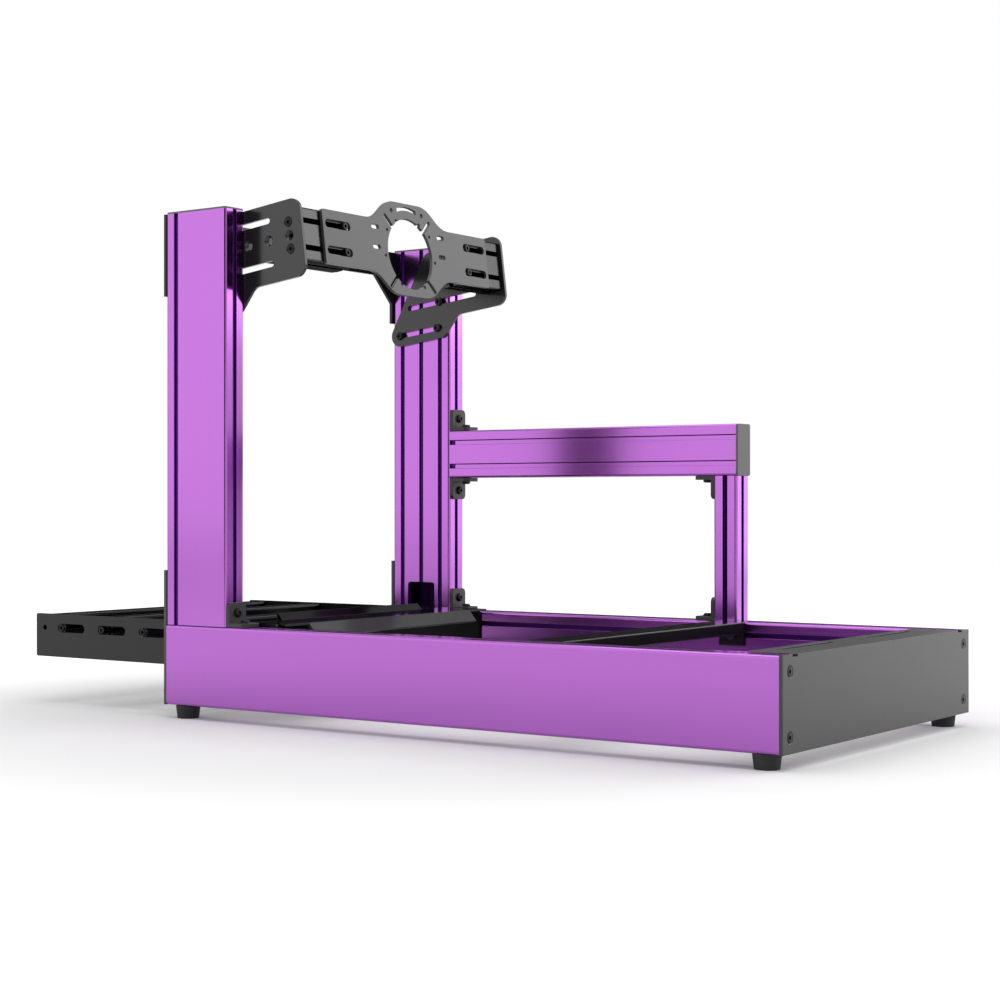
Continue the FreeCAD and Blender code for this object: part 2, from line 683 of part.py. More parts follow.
def build_wheel_mount():
    """Wheel mount: two slotted side brackets, a short beam inside each and the bored plate."""
    tilt = FreeCAD.Rotation(FreeCAD.Vector(1, 0, 0), -worth("wheel_tilt"))
    sides = {"left": (f"-{RAIL_INNER}", "0"), "right": (DECK_INNER, "plate_gauge")}
    for name, (start, outer_face) in sides.items():
        body = new_body(f"{name}_wheel_bracket")
        outline = Outline(body)
        outline.polygon([
            ("0", "-bracket_bottom"),
            ("bracket_neck", "-bracket_bottom"),
            ("bracket_heel", "-bracket_foot"),
            ("bracket_reach", "-bracket_foot"),
            ("bracket_top_reach", "bracket_top"),
            ("0", "bracket_top"),
        ])
        fillet(body, pad(body, outline, "plate_gauge"), "bracket_round", along_pad)
        openings = Outline(body)
        runs = (
            ("bracket_slot_start", "bracket_upper_end", "bracket_upper_slot"),
            ("bracket_slot_start", "bracket_middle_end", "-bracket_middle_slot"),
            ("bracket_lower_start", "bracket_lower_end", "-bracket_lower_slot"),
        )
        for slot_start, slot_end, height in runs:
            openings.slot((slot_start, height), (slot_end, height), "bracket_slot_radius")
        beam_centre = "plate_gauge + beam_depth / 2"
        for height in ("-slot_pitch / 2", "0", "slot_pitch / 2"):
            openings.circle(beam_centre, height, "bolt_hole_radius")
        for step in (1, 2):
            openings.circle(f"{beam_centre} + {step} * slot_pitch", "0", "bolt_hole_radius")
        pocket(body, openings, "plate_gauge")
        countersink(body, outer_face)
        place(body, start, WHEEL_FACE_Y, WHEEL_FACE_Z, tilt * RIGHT)

    slots = {"left": TWO_ROWS, "right": TWO_ROWS, "top": ["0"], "bottom": ["0"]}
    bores = [("0", row) for row in (*TWO_ROWS, "0")]
    beam_run = f"({DECK_INNER} - wheel_beam_inner)"
    reach = "(plate_gauge + beam_depth / 2)"
    beam_y = f"{WHEEL_FACE_Y} + {reach} * {TILT_COS}"
    beam_z = f"{WHEEL_FACE_Z} - {reach} * {TILT_SIN}"
    for name, start in (("left", f"-{DECK_INNER}"), ("right", "wheel_beam_inner")):
        beam = slotted_beam(f"{name}_wheel_beam", "beam_depth", "wheel_beam_height", beam_run, slots, bores)
        place(beam, start, beam_y, beam_z, tilt * RIGHT)

    plate = new_body("wheel_mount_plate")
    outline = Outline(plate)
    edge = "wheel_plate_height / 2"
    lobe = "wheel_lobe_height / 2"
    half = [
        ("wheel_lobe_half", f"-{lobe}"),
        ("wheel_neck_half", f"-{edge}"),
        ("wheel_plate_half", f"-{edge}"),
        ("wheel_plate_half", edge),
        ("wheel_neck_half", edge),
        ("wheel_lobe_half", lobe),
    ]
    outline.polygon(half + mirrored(half))
    solid = pad(plate, outline, "plate_gauge")
    outer = worth("wheel_plate_half")
    lobes = fillet(plate, solid, "wheel_lobe_round",
                   lambda edge: along_pad(edge) and abs(abs(edge.CenterOfMass.x) - outer) > 1e-6)
    fillet(plate, lobes, "edge_round",
           lambda edge: along_pad(edge) and abs(abs(edge.CenterOfMass.x) - outer) < 1e-6)
    openings = Outline(plate)
    openings.circle("0", "-wheel_bore_drop", "wheel_bore_radius")
    openings.arc_slot("0", "-wheel_bore_drop", "wheel_arc_inner", "wheel_arc_outer", "wheel_arc_half")
    slot_run = "(wheel_slot_length / 2 - wheel_slot_radius)"
    for sign in SIDES.values():
        for height in TWO_ROWS:
            ends = [(f"{sign} * wheel_slot_place {way} {slot_run}", height) for way in "-+"]
            openings.slot(ends[0], ends[1], "wheel_slot_radius")
        for height in ("wheel_ear_upper", "-wheel_ear_lower"):
            ends = [(f"{sign} * wheel_ear_place {way} wheel_ear_half", height) for way in "-+"]
            openings.slot(ends[0], ends[1], "wheel_ear_radius")
        openings.circle(f"{sign} * wheel_brow_place", "wheel_brow_rise", "wheel_brow_radius")
        for angle in ("wheel_rim_upper", "wheel_rim_lower"):
            across = f"{sign} * wheel_rim_reach * cos({angle} * 1deg)"
            rise = f"wheel_rim_reach * sin({angle} * 1deg) - wheel_bore_drop"
            openings.circle(across, rise, "wheel_rim_radius")
    pocket(plate, openings, "plate_gauge")
    notches = Outline(plate)
    for sign in SIDES.values():
        for up in (-1, 1):
            notch_starts = "(wheel_bore_radius - 2 * wheel_notch_radius)"
            ends = [(f"{sign} * {radius} * cos(wheel_notch_angle * 1deg)",
                     f"{up} * {radius} * sin(wheel_notch_angle * 1deg) - wheel_bore_drop")
                    for radius in (notch_starts, "wheel_notch_reach")]
            notches.slot(ends[0], ends[1], "wheel_notch_radius")
            bite_x = f"{sign} * wheel_bite_reach * cos(wheel_bite_angle * 1deg)"
            bite_y = f"{up} * wheel_bite_reach * sin(wheel_bite_angle * 1deg) - wheel_bore_drop"
            notches.circle(bite_x, bite_y, "wheel_bite_radius")
    pocket(plate, notches, "plate_gauge")
    place(plate, "0", WHEEL_FACE_Y, WHEEL_FACE_Z, tilt * FORWARD)


def build_pedal_deck():
    """Pedal deck: slotted sides fixed inside the rails, three bars between them, and a heel plate."""
    bar_middle = "deck_bar_drop + deck_bar_size / 2"
    starts = {"left": f"-{RAIL_INNER}", "right": DECK_INNER}
    for name, start in starts.items():
        body = new_body(f"{name}_pedal_side")
        outline = Outline(body)
        outline.polygon(rectangle("0", "0", "deck_length", "deck_height"))
        fillet(body, pad(body, outline, "plate_gauge"), "edge_round", along_pad)
        openings = Outline(body)
        slot_height = f"deck_height - ({bar_middle})"
        openings.circle("deck_length - deck_bar_size / 2", slot_height, "bolt_hole_radius")
        for count in range(3):
            front = f"deck_length - deck_slot_first - {count} * deck_slot_pitch - deck_slot_radius"
            rear = f"{front} - deck_slot_length + 2 * deck_slot_radius"
            openings.slot((rear, slot_height), (front, slot_height), "deck_slot_radius")
        pocket(body, openings, "plate_gauge")
        place(body, start, DECK_REAR, f"{DECK_TOP} - deck_height", RIGHT)

    four_slots = {side: ["0"] for side in ("bottom", "right", "top", "left")}
    setbacks = {"front": "deck_bar_size / 2", "middle": "deck_bar_middle", "rear": "deck_bar_rear"}
    size = "deck_bar_size"
    bar_run = f"(2 * {DECK_INNER})"
    for name, setback in setbacks.items():
        bar = slotted_beam(f"{name}_pedal_bar", size, size, bar_run, four_slots, [("0", "0")])
        place(bar, f"-{DECK_INNER}", f"{DECK_FRONT} - {setback}", f"{DECK_TOP} - ({bar_middle})", RIGHT)

    heel = new_body("heel_plate")
    tread = Outline(heel)
    tread.polygon(rectangle("0", "-heel_gauge", "heel_depth", "0"))
    pad(heel, tread, f"2 * {DECK_INNER}")
    lip = Outline(heel, lift=f"{DECK_INNER} - heel_lip_half")
    lip.polygon([
        ("0", "0"),
        ("-heel_lip_run", "-heel_lip_drop"),
        ("-heel_lip_run + heel_gauge", "-heel_lip_drop - heel_gauge"),
        ("2 * heel_gauge", "-heel_gauge"),
        ("2 * heel_gauge", "0"),
    ])
    pad(heel, lip, "2 * heel_lip_half")
    stop = Outline(heel, lift=f"{DECK_INNER} - heel_stop_half")
    stop.polygon([
        ("heel_depth - 2 * heel_gauge", "-heel_gauge"),
        ("heel_depth", "-heel_gauge"),
        ("heel_depth + heel_stop_run", "heel_stop_rise"),
        ("heel_depth + heel_stop_run - heel_gauge", "heel_stop_rise"),
        ("heel_depth - 2 * heel_gauge", "0"),
    ])
    pad(heel, stop, "2 * heel_stop_half")
    place(heel, f"-{DECK_INNER}", f"{DECK_REAR} - heel_overhang", f"{RAIL_TOP} + heel_rise", RIGHT)


def build_seat_crossbar():
    """Seat crossbar: a folded channel with a tab at each end against the rails."""
    body = new_body("seat_crossbar")
    channel = Outline(body)
    channel.polygon([
        ("0", "-seat_bar_lip"),
        ("fold_gauge", "-seat_bar_lip"),
        ("fold_gauge", "-fold_gauge"),
        ("seat_bar_depth - fold_gauge", "-fold_gauge"),
        ("seat_bar_depth - fold_gauge", "-seat_bar_lip"),
        ("seat_bar_depth", "-seat_bar_lip"),
        ("seat_bar_depth", "0"),
        ("0", "0"),
    ])
    pad(body, channel, f"2 * {RAIL_INNER}")
    for lift in ("0", f"2 * {RAIL_INNER} - fold_gauge"):
        tab = Outline(body, lift=lift)
        tab.polygon(rectangle("0", "-seat_tab_drop", "seat_tab_width", "0"))
        pad(body, tab, "fold_gauge")
    place(body, f"-{RAIL_INNER}", f"{RAIL_REAR} + seat_bar_place", RAIL_TOP, RIGHT)


def check_and_write():
    """Stop on any failed object, then write each sub-part to its own file."""
    doc.recompute()
    failed = [item.Name for item in doc.Objects if "Invalid" in item.State or "Error" in item.State]
    if failed:
        raise RuntimeError(f"failed objects: {failed}")
    for piece in pieces:
        shape = piece.Shape
        if shape.isNull() or not shape.isValid() or len(shape.Solids) != 1:
            raise RuntimeError(f"{piece.Label} is not one valid solid")
    os.makedirs("parts", exist_ok=True)
    for piece in pieces:
        piece.Shape.exportStep(os.path.join("parts", f"{piece.Label}.step"))


build_rails()
build_feet()
build_uprights()
build_rear_plate()
build_front_plates()
build_shifter_arm()
build_angle_brackets()
build_wheel_mount()
build_pedal_deck()
build_seat_crossbar()
check_and_write()
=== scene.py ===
"""Looks of a sim racing cockpit frame: its finishes, its bolts and the studio round it."""

import logging
import math
from dataclasses import dataclass, replace
from enum import Enum
from typing import Callable, ClassVar, Optional, Union

import bmesh
import bpy
from mathutils import Matrix, Vector


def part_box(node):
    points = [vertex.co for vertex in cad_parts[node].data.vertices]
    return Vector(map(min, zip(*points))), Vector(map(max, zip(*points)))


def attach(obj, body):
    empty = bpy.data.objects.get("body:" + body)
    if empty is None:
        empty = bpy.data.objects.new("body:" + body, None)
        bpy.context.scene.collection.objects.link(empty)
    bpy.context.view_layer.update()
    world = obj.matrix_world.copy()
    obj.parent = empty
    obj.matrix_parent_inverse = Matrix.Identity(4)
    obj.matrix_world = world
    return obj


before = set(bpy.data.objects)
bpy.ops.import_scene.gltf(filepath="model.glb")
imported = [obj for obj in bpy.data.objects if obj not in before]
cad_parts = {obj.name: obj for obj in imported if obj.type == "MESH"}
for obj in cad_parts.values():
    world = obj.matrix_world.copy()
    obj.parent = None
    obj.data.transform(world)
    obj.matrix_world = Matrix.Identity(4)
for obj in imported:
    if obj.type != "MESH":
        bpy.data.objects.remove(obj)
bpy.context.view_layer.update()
log = logging.getLogger("cockpit")

MM = 0.001
BODY = "root"
EDGE_SAMPLES = 6
HEX_SIDES = 6
LINE_CELLS = 420.0

Triple = tuple[float, float, float]
Colour = Triple
Place = Triple
Span = tuple[float, float]
Operand = Union["Value", float]
Tint = Union["Value", Colour]


class Value:
    """A shader socket that takes part in Python arithmetic."""

    def __init__(self, shader: "Shader", socket: bpy.types.NodeSocket) -> None:
        """Keep the socket and the tree that it belongs to."""
        self.shader = shader
        self.socket = socket

    def math(self, operation: str, first: Operand, second: Operand) -> "Value":
        """Add a Math node.

        Args:
            operation: The node's operation.
            first: Its first operand.
            second: Its second operand.

        Returns:
            The node's result.
        """
        return self.shader.value("ShaderNodeMath", {"operation": operation}, {0: first, 1: second})

    def __add__(self, other: Operand) -> "Value":
        """Add another value."""
        return self.math("ADD", self, other)

    def __radd__(self, other: Operand) -> "Value":
        """Add this value to another."""
        return self.math("ADD", other, self)

    def __sub__(self, other: Operand) -> "Value":
        """Take another value away."""
        return self.math("SUBTRACT", self, other)

    def __rsub__(self, other: Operand) -> "Value":
        """Take this value away from another."""
        return self.math("SUBTRACT", other, self)

    def __mul__(self, other: Operand) -> "Value":
        """Multiply by another value."""
        return self.math("MULTIPLY", self, other)

    def __rmul__(self, other: Operand) -> "Value":
        """Multiply another value by this one."""
        return self.math("MULTIPLY", other, self)

    def at_most(self, other: Operand) -> "Value":
        """Give the smaller of this and another value."""
        return self.math("MINIMUM", self, other)

    def step(self, start: float, end: float) -> "Value":
        """Give a soft step from 0 at the start to 1 at the end."""
        sockets = {"Value": self, "From Min": start, "From Max": end}
        return self.shader.value("ShaderNodeMapRange", {"interpolation_type": "SMOOTHSTEP"}, sockets)


class Shader:
    """A node tree that is filled from Python."""

    def __init__(self, tree: bpy.types.NodeTree) -> None:
        """Take over a tree and empty it."""
        self.tree = tree
        self.tree.nodes.clear()

    def node(self, kind: str, settings: Optional[dict] = None,
             sockets: Optional[dict] = None) -> bpy.types.Node:
        """Add a node of any type.

        Args:
            kind: The node's type.
            settings: Its own properties, with "stops" for the stops of a ramp.
            sockets: Numbers, colours or links for its inputs, by name or number.

        Returns:
            The new node.
        """
        made = self.tree.nodes.new(kind)
        for name, setting in (settings or {}).items():
            if name == "stops":
                self.set_stops(made.color_ramp, setting)
            else:
                setattr(made, name, setting)
        for key, given in (sockets or {}).items():
            if isinstance(given, Value):
                self.tree.links.new(given.socket, made.inputs[key])
            else:
                made.inputs[key].default_value = given
        return made

    @staticmethod
    def set_stops(ramp: bpy.types.ColorRamp, stops: list[Span]) -> None:
        """Give a ramp its stops, each a place and a grey level."""
        while len(ramp.elements) < len(stops):
            ramp.elements.new(0.5)
        for element, (place, level) in zip(ramp.elements, stops):
            element.position = place
            element.color = (level, level, level, 1.0)

    def value(self, kind: str, settings: Optional[dict] = None, sockets: Optional[dict] = None,
              output: Union[int, str] = 0) -> Value:
        """Add a node and give one of its outputs.

        Args:
            kind: The node's type.
            settings: Its own properties.
            sockets: Numbers, colours or links for its inputs.
            output: The name or number of the output.

        Returns:
            That output.
        """
        return Value(self, self.node(kind, settings, sockets).outputs[output])


class Paint(Shader):
    """The node tree of one material."""

    def __init__(self, name: str) -> None:
        """Start a material with that name."""
        self.material = bpy.data.materials.new(name)
        self.material.use_nodes = True
        super().__init__(self.material.node_tree)
        self.place = self.value("ShaderNodeTexCoord", output="Object")

    def stretched(self, scale: Triple) -> Value:
        """Give the place on the object, scaled along each axis."""
        return self.value("ShaderNodeVectorMath", {"operation": "MULTIPLY"}, {0: self.place, 1: scale})

    def noise(self, scale: Triple, detail: float = 2.0, rough: float = 0.5) -> Value:
        """Give a noise pattern.

        Args:
            scale: How many cells it has to the metre along each axis.
            detail: How many finer layers it has.
            rough: How strong those layers are.

        Returns:
            The pattern, from 0 to 1.
        """
        sockets = {"Vector": self.stretched(scale), "Scale": 1.0, "Detail": detail, "Roughness": rough}
        return self.value("ShaderNodeTexNoise", sockets=sockets)

    def blend(self, share: Operand, first: Tint, second: Tint) -> Value:
        """Mix two colours by a share of the second."""
        ends = [given if isinstance(given, Value) else (*given, 1.0) for given in (first, second)]
        settings = {"data_type": "RGBA", "clamp_factor": True}
        return self.value("ShaderNodeMix", settings, {0: share, 6: ends[0], 7: ends[1]}, 2)

    def depth(self, middle: Place, half: Triple, tilt: float = 0.0) -> Value:
        """Give how deep a place lies below the nearest side of a box.

        Args:
            middle: The box's middle.
            half: Half of its size along each axis.
            tilt: How far it is turned about X.

        Returns:
            The depth in metres.
        """
        sockets = {"Vector": self.place, "Center": middle, "Angle": tilt}
        level = self.value("ShaderNodeVectorRotate", {"rotation_type": "X_AXIS"}, sockets)
        offset = self.value("ShaderNodeVectorMath", {"operation": "SUBTRACT"}, {0: level, 1: middle})
        away = self.value("ShaderNodeVectorMath", {"operation": "ABSOLUTE"}, {0: offset})
        below = self.value("ShaderNodeVectorMath", {"operation": "SUBTRACT"}, {0: half, 1: away})
        axes = self.node("ShaderNodeSeparateXYZ", sockets={0: below})
        across, along, up = [Value(self, socket) for socket in axes.outputs]
        return across.at_most(along).at_most(up)

    def relief(self, height: Value, strength: float, depth: float, edge: float) -> Value:
        """Give a normal with a surface relief and softened edges.

        Args:
            height: The relief's pattern.
            strength: How much of it shows.
            depth: Its depth in metres.
            edge: The radius of the edges in metres.

        Returns:
            The normal.
        """
        rounded = self.value("ShaderNodeBevel", {"samples": EDGE_SAMPLES}, {"Radius": edge})
        sockets = {"Strength": strength, "Distance": depth, "Height": height, "Normal": rounded}
        return self.value("ShaderNodeBump", sockets=sockets)

    def uneven(self, mean: float, *spreads: tuple[Value, float]) -> Value:
        """Give a roughness that varies about a mean.

        Args:
            mean: The mean roughness.
            spreads: Patterns from 0 to 1, each with how far it spreads the roughness.

        Returns:
            The roughness.
        """
        half = sum(spread for _, spread in spreads) / 2
        return sum((pattern * spread for pattern, spread in spreads), mean - half)

    def finish(self, sockets: dict) -> bpy.types.Material:
        """Close the tree with its surface shader.

        Args:
            sockets: Values and links of the surface shader.

        Returns:
            The material.
        """
        surface = self.value("ShaderNodeBsdfPrincipled", sockets=sockets)
        self.node("ShaderNodeOutputMaterial", sockets={"Surface": surface})
        return self.material


def shades(tint: Colour, darker: float, lighter: float) -> tuple[Colour, Colour]:
    """Give a darker and a lighter shade of a colour."""
    return tuple(part * darker for part in tint), tuple(part * lighter for part in tint)


class Grain(Enum):
    """Way in which a drawn beam's fine lines run, as noise cells to the metre."""

    ALONG_X = (1.0, LINE_CELLS, LINE_CELLS)
    ALONG_Y = (LINE_CELLS, 1.0, LINE_CELLS)
    ALONG_Z = (LINE_CELLS, LINE_CELLS, 1.0)


@dataclass(frozen=True)
class Finish:
    """A surface finish, made once for all the pieces that carry it."""

    name: str
    tint: Colour

    def material(self) -> bpy.types.Material:
        """Make the material."""
        raise NotImplementedError

    def material_for(self, node: str) -> bpy.types.Material:
        """Give the material for a piece of the frame."""
        return material_of(self)


@dataclass(frozen=True)
class Anodised(Finish):
    """Dyed anodised aluminium, with fine lines along the beam and painted shade in its slots, darker
    with depth.
    """

    TONES: ClassVar[Span] = (0.93, 1.06)
    CLOUD: ClassVar[float] = 5.0
    # Depths below the beam's sides where the painted shade in the slots begins and where it is darkest,
    # and how dark it gets there.
    MOUTH: ClassVar[Span] = (1.25 * MM, 1.9 * MM)
    BOTTOM: ClassVar[Span] = (8.0 * MM, 14.0 * MM)
    DEEP_SHADE: ClassVar[float] = 0.06
    SLOT_ROUGHNESS: ClassVar[float] = 0.3

    slot: Colour
    grain: Grain
    roughness: float = 0.2
    coat: float = 0.35
    fringe: float = 1.0
    edge: float = 0.6 * MM
    tilt: float = 0.0
    middle: Place = (0.0, 0.0, 0.0)
    half: Optional[Triple] = None
    # How far the painted slot shade runs on past the beam's ends along Z.
    covered_ends: float = 0.0

    def material_for(self, node: str) -> bpy.types.Material:
        """Give the material fitted to a beam, so that the shade painted into its slots fits them."""
        low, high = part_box(node)
        half = self.half or tuple((high - low) / 2 + Vector((0.0, 0.0, self.covered_ends)))
        fitted = replace(self, name=f"{self.name}_{node}", middle=tuple((low + high) / 2), half=half)
        return material_of(fitted)

    def material(self) -> bpy.types.Material:
        """Make the material."""
        paint = Paint(self.name)
        lines = paint.noise(self.grain.value, detail=3.0, rough=0.65)
        cloud = paint.noise((self.CLOUD,) * 3)
        face = paint.blend(lines * 0.5 + cloud * 0.5, *shades(self.tint, *self.TONES))
        depth = paint.depth(self.middle, self.half, self.tilt)
        # Painted shade: below a slot's mouth the colour turns to the slot's shade colour, darker towards
        # the bottom, rougher and without coat.
        inside = depth.step(*self.MOUTH)
        deep_shade = tuple(part * self.DEEP_SHADE for part in self.slot)
        slot = paint.blend(depth.step(*self.BOTTOM), self.slot, deep_shade)
        roughness = paint.uneven(self.roughness, (lines, 0.06), (cloud, 0.04))
        return paint.finish({
            "Base Color": paint.blend(inside, face, slot),
            "Metallic": 1.0,
            "Specular Tint": (self.fringe, self.fringe, self.fringe, 1.0),
            "Roughness": roughness + inside * self.SLOT_ROUGHNESS,
            "Coat Weight": (1.0 - inside) * self.coat,
            "Coat Roughness": 0.12,
            "Normal": paint.relief(lines, strength=0.04, depth=0.2 * MM, edge=self.edge),
        })


@dataclass(frozen=True)
class PowderCoat(Finish):
    """Baked powder coat with a fine pebbled skin, and painted shade inside a box."""

    TONES: ClassVar[Span] = (0.88, 1.1)
    CLOUD: ClassVar[float] = 9.0
    SHADE_EDGE: ClassVar[Span] = (0.3 * MM, 0.9 * MM)

    roughness: float = 0.34
    gloss: float = 0.5
    pebble: float = 900.0
    relief: float = 0.1
    edge: float = 0.9 * MM
    shaded: Optional[tuple[Place, Triple]] = None
    shade_roughness: float = 0.5

    def material(self) -> bpy.types.Material:
        """Make the material."""
        paint = Paint(self.name)
        skin = paint.noise((self.pebble,) * 3, rough=0.55)
        cloud = paint.noise((self.CLOUD,) * 3, detail=3.0)
        colour = paint.blend(skin * 0.4 + cloud * 0.6, *shades(self.tint, *self.TONES))
        roughness = paint.uneven(self.roughness, (skin, 0.1), (cloud, 0.06))
        # Painted shade: inside the box the colour turns near black and the roughness rises by
        # shade_roughness.
        if self.shaded:
            inside = paint.depth(*self.shaded).step(*self.SHADE_EDGE)
            colour = paint.blend(inside, colour, PAINTED_SHADE_BLACK)
            roughness = roughness + inside * self.shade_roughness
        return paint.finish({
            "Base Color": colour,
            "Roughness": roughness,
            "Specular IOR Level": self.gloss,
            "Normal": paint.relief(skin, self.relief, depth=0.15 * MM, edge=self.edge),
        })


@dataclass(frozen=True)
class Moulded(Finish):
    """Moulded plastic or rubber with a fine spark-eroded grain and a little dust."""

    GRAIN: ClassVar[float] = 1400.0
    CLOUD: ClassVar[float] = 30.0
    DUSTY: ClassVar[list[Span]] = [(0.45, 0.0), (0.8, 1.0)]

    dust: Colour
    roughness: float
    edge: float = 1.0 * MM

    def material(self) -> bpy.types.Material:
        """Make the material."""
        paint = Paint(self.name)
        cells = {"Vector": paint.stretched((self.GRAIN,) * 3), "Scale": 1.0}
        grain = paint.value("ShaderNodeTexVoronoi", {"feature": "F1"}, cells)
        cloud = paint.noise((self.CLOUD,) * 3, detail=4.0)
        settled = paint.value("ShaderNodeValToRGB", {"stops": self.DUSTY}, {0: cloud})
        return paint.finish({
            "Base Color": paint.blend(settled * 0.5, self.tint, self.dust),
            "Roughness": paint.uneven(self.roughness, (grain, 0.08), (cloud, 0.1)),
            "Normal": paint.relief(grain, strength=0.12, depth=0.12 * MM, edge=self.edge),
        })


@dataclass(frozen=True)
class BlackOxide(Finish):
    """Blackened steel of the bolts, a little worn on top."""

    CLOUD: ClassVar[float] = 160.0
    TURNED: ClassVar[float] = 1500.0
    RUBBED: ClassVar[list[Span]] = [(0.52, 0.0), (0.78, 1.0)]

    worn: Colour
    roughness: float = 0.37

    def material(self) -> bpy.types.Material:
        """Make the material."""
        paint = Paint(self.name)
        cloud = paint.noise((self.CLOUD,) * 3, detail=4.0, rough=0.6)
        rubbed = paint.value("ShaderNodeValToRGB", {"stops": self.RUBBED}, {0: cloud})
        turned = paint.noise((self.TURNED,) * 3)
        return paint.finish({
            "Base Color": paint.blend(rubbed, self.tint, self.worn),
            "Metallic": 0.85,
            "Roughness": paint.uneven(self.roughness, (turned, 0.12), (cloud, 0.1)),
            "Normal": paint.relief(turned, strength=0.06, depth=0.1 * MM, edge=0.3 * MM),
        })


PURPLE: Colour = (0.396, 0.122, 0.502)
# Painted shade colour inside the purple beams' slots.
PURPLE_SLOT_SHADE: Colour = (0.210, 0.042, 0.430)
# Near-black painted shade, for the dark beams' slots and for the shaded boxes on the coats.
PAINTED_SHADE_BLACK: Colour = (0.003, 0.003, 0.003)
WHEEL_TILT: float = math.radians(7.2)
WHEEL_BEAM_HALF: Triple = (57.5 * MM, 20.0 * MM, 40.0 * MM)

PURPLE_ALONG = Anodised("purple_anodised_along", PURPLE, PURPLE_SLOT_SHADE, Grain.ALONG_Y)
PURPLE_UP = Anodised("purple_anodised_up", PURPLE, PURPLE_SLOT_SHADE, Grain.ALONG_Z, roughness=0.17,
                     covered_ends=60.0 * MM)
BLACK_ACROSS = Anodised("black_anodised_across", (0.010, 0.010, 0.0103), PAINTED_SHADE_BLACK, Grain.ALONG_X,
                        roughness=0.3, coat=0.05)
GREY_ACROSS = Anodised("grey_anodised_across", (0.082, 0.082, 0.083), PAINTED_SHADE_BLACK, Grain.ALONG_X,
                       roughness=0.22, coat=0.05, fringe=0.15, tilt=WHEEL_TILT, half=WHEEL_BEAM_HALF)

# Boxes of painted shade: the rear plate's flange with its slots, and the heel plate's tread in front of
# its lip.
FLANGE_SHADE: tuple[Place, Triple] = ((0.0, -0.168, -0.360), (0.300, 0.500, 0.500))
TREAD_SHADE: tuple[Place, Triple] = ((0.0, 0.400, 0.0), (0.500, 0.250, 0.500))
# Painted light: the wheel plate, the front plate and the rear plate carry the same black coat as the
# pedal sides, with a lighter tint for the light that falls on them.
LIT_COPY_COAT = PowderCoat("coated_lit_copy", (0.050, 0.050, 0.050))
REAR_COAT = PowderCoat("rear_plate_coated", (0.036, 0.036, 0.036), shaded=FLANGE_SHADE)
BRACKET_COAT = PowderCoat("bracket_coated", (0.015, 0.015, 0.015), roughness=0.17, relief=0.05)
BLACK_COAT = PowderCoat("black_coated", (0.007, 0.007, 0.0072), roughness=0.18, gloss=0.34, relief=0.06)
FOLD_COAT = replace(BLACK_COAT, name="black_coated_fold", edge=3.0 * MM)
# Painted light and shade on the heel plate: a lighter tint on its lip for the light on it, and painted
# shade on its tread.
HEEL_COAT = replace(BLACK_COAT, name="black_coated_heel", tint=(0.050, 0.050, 0.051), roughness=0.13,
                    gloss=0.08, shaded=TREAD_SHADE, shade_roughness=0.0)
# A shaded copy of the black coat for the right pedal side: less gloss, so that it shows darker as in
# shade.
SHADED_COPY_COAT = replace(BLACK_COAT, name="black_coated_shaded_copy", gloss=0.08)
CAST_COAT = PowderCoat("cast_bracket", (0.030, 0.030, 0.030), roughness=0.42, gloss=0.4, pebble=620.0,
                       relief=0.2, edge=1.2 * MM)
GREY_CAP = Moulded("grey_cap", (0.110, 0.110, 0.110), (0.145, 0.145, 0.143), roughness=0.5)
FOOT_RUBBER = Moulded("foot_rubber", (0.014, 0.014, 0.015), (0.04, 0.04, 0.039), roughness=0.72)
BOLT_STEEL = BlackOxide("blackened_bolt", (0.016, 0.016, 0.0165), (0.060, 0.060, 0.062))


class Head(Enum):
    """Shapes of a bolt's head, each as rings of radius and height in mm, from the socket's rim down."""

    BUTTON = ((4.0, 4.4), (5.2, 4.15), (6.2, 3.5), (6.8, 2.5), (7.0, 1.3), (7.0, 0.0))
    FLAT = ((6.1, -0.2), (6.45, -0.35), (6.7, -0.8), (6.8, -1.1), (4.2, -3.7))
    CAP = ((4.6, 5.6), (5.5, 5.45), (5.85, 5.1), (6.0, 4.6), (6.0, 0.0))


